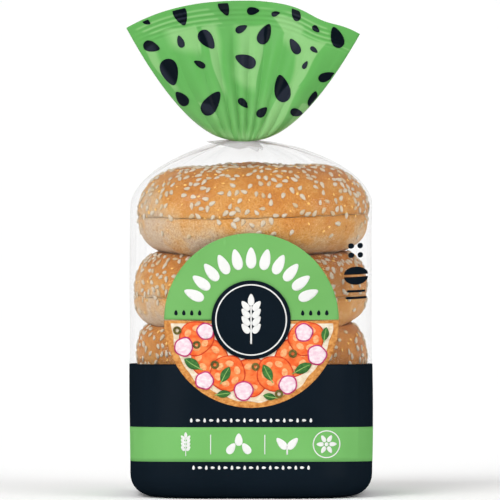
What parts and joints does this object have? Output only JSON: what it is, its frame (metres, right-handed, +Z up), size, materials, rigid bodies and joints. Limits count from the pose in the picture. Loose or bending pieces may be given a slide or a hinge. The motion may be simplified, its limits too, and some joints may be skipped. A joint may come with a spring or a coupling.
{
  "type": "bagel pack",
  "caption": "Sealed clear bag that stands upright round a stack of sliced sesame bagels, with a printed lower half, a round label and a gathered, fanned top.",
  "frame": {"origin": "centre of the flat base, on the surface that the pack stands on", "axes": "+Z up from the base to the sealed top edge; the front with the round label faces -Y; +X is to the right as seen from the front"},
  "size_m": [0.1118, 0.1088, 0.2242],
  "materials": {
    "green_print": "glossy printed film",
    "navy_print": "glossy printed film",
    "white_print": "glossy printed film",
    "picture_print": "glossy printed film in flat food colours",
    "clear_film": "thin clear plastic film",
    "crust": "baked crust, satin",
    "crumb": "open bread crumb, matt",
    "sesame": "pale toasted seed, satin"
  },
  "bodies": {
    "root": {"bag": "clear_film", "bagel_1_upper": "crust", "bagel_1_lower": "crust", "bagel_2_upper": "crust", "bagel_2_lower": "crust", "bagel_3_upper": "crust", "bagel_3_lower": "crust", "bagel_4_upper": "crust", "bagel_4_lower": "crust"}
  },
  "joints": []
}
